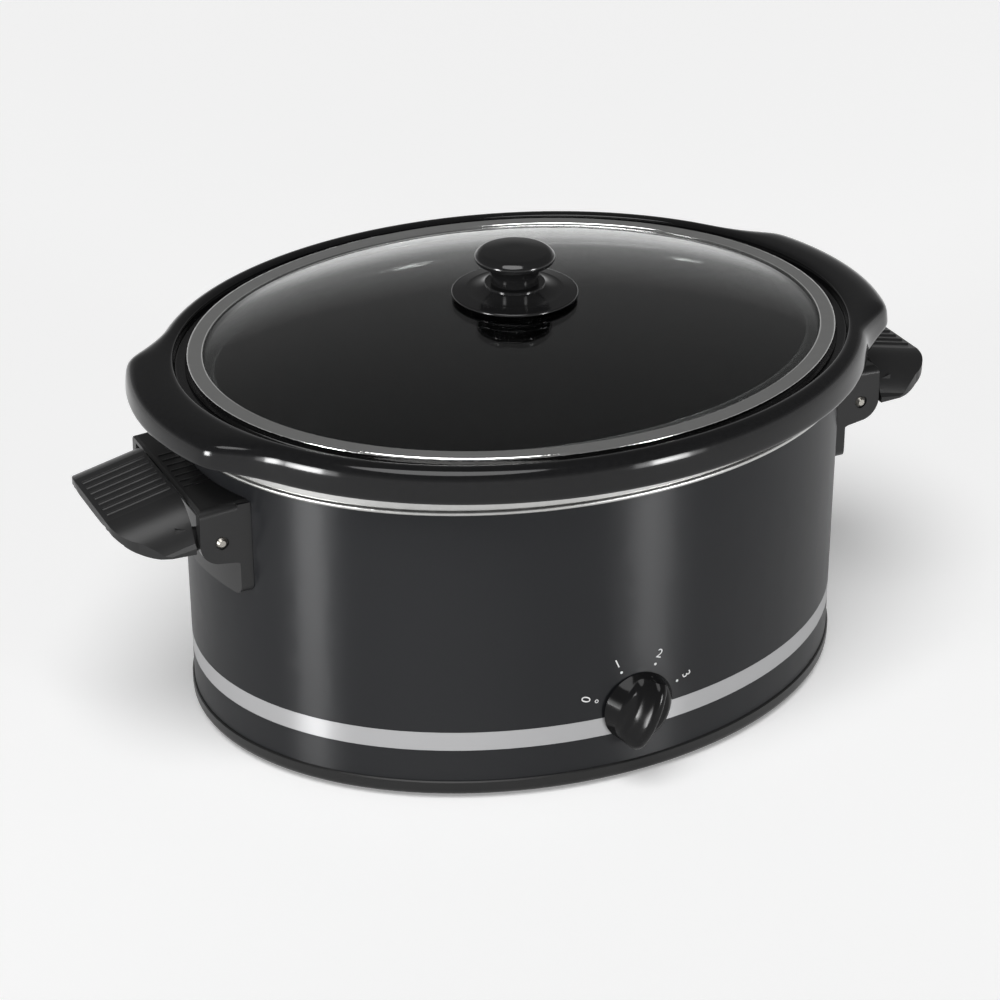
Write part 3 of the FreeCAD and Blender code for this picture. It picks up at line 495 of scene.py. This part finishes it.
def makeStudio():
    mesh = bpy.data.meshes.new("floor")
    far = studio["floorHalf"]
    mesh.from_pydata([(-far, -far, 0), (far, -far, 0), (far, far, 0), (-far, far, 0)], [], [(0, 1, 2, 3)])
    floor = bpy.data.objects.new("floor", mesh)
    scene.collection.objects.link(floor)
    sheet = Sheet("pale floor")
    tone = sheet.noise(3, 2)
    worn = tuple(c * studio["floorWear"] for c in studio["floor"])
    direct, mirrored, through = [sheet.add("ShaderNodeLightPath", {}, out="Is %s Ray" % ray)
                                 for ray in ("Camera", "Glossy", "Transmission")]
    seen = direct.math("MAXIMUM", direct, mirrored.math("MAXIMUM", mirrored, through))
    mesh.materials.append(sheet.set(Base_Color=sheet.mix(tone, studio["floor"], worn), Roughness=0.8,
                                    Emission_Color=seen, Emission_Strength=studio["floorGlow"]))
    overhead = studio["overhead"]
    lamp = bpy.data.lights.new("overhead", "SUN")
    lamp.energy, lamp.angle = overhead["strength"], math.radians(overhead["spread"])
    holder = bpy.data.objects.new("overhead", lamp)
    holder.rotation_euler = (-Vector(overhead["from"])).to_track_quat("-Z", "Y").to_euler()
    scene.collection.objects.link(holder)
    for name, spot, aim, wide, high, power in studio["lamps"]:
        lamp = bpy.data.lights.new(name, "AREA")
        lamp.shape = "RECTANGLE"
        lamp.size, lamp.size_y, lamp.energy = wide, high, power
        lamp.spread = math.radians(studio["beam"])
        holder = bpy.data.objects.new(name, lamp)
        holder.location = spot
        holder.rotation_euler = (Vector(aim) - Vector(spot)).to_track_quat("-Z", "Y").to_euler()
        scene.collection.objects.link(holder)
    world = bpy.data.worlds.new("studio")
    scene.world = world
    world.use_nodes = True
    tree = world.node_tree
    tree.nodes.clear()
    place = tree.nodes.new("ShaderNodeTexCoord")
    split = tree.nodes.new("ShaderNodeSeparateXYZ")
    height = tree.nodes.new("ShaderNodeMapRange")
    height.inputs["From Min"].default_value = -1
    ramp = tree.nodes.new("ShaderNodeValToRGB")
    for spot, (level, tone) in enumerate(studio["sky"]):
        stop = ramp.color_ramp.elements[spot] if spot < 2 else ramp.color_ramp.elements.new(level)
        stop.position, stop.color = level, (tone, tone, tone, 1)
    fill = tree.nodes.new("ShaderNodeBackground")
    result = tree.nodes.new("ShaderNodeOutputWorld")
    tree.links.new(place.outputs["Generated"], split.inputs[0])
    tree.links.new(split.outputs["Z"], height.inputs["Value"])
    tree.links.new(height.outputs[0], ramp.inputs[0])
    tree.links.new(ramp.outputs[0], fill.inputs["Color"])
    tree.links.new(fill.outputs[0], result.inputs[0])


makeStudio()

lens = {
    "azimuth": -25.855,
    "elevation": 28.188,
    "target": (0, 0, 0.0708),
    "distance": 1.4994,
    "focal": 104.27,
    "sensor": 36,
    "near": 0.01,
    "far": 100,
    "shift": (-0.0148, 0.02956),
}


def makeCamera():
    data = bpy.data.cameras.new("camera")
    data.lens, data.sensor_width = lens["focal"], lens["sensor"]
    data.shift_x, data.shift_y = lens["shift"]
    data.clip_start, data.clip_end = lens["near"], lens["far"]
    camera = bpy.data.objects.new("camera", data)
    az, el = math.radians(lens["azimuth"]), math.radians(lens["elevation"])
    back = Vector((math.sin(az) * math.cos(el), -math.cos(az) * math.cos(el), math.sin(el)))
    camera.location = Vector(lens["target"]) + back * lens["distance"]
    camera.rotation_euler = (-back).to_track_quat("-Z", "Y").to_euler()
    scene.collection.objects.link(camera)
    scene.camera = camera


makeCamera()
print("studio and camera set")
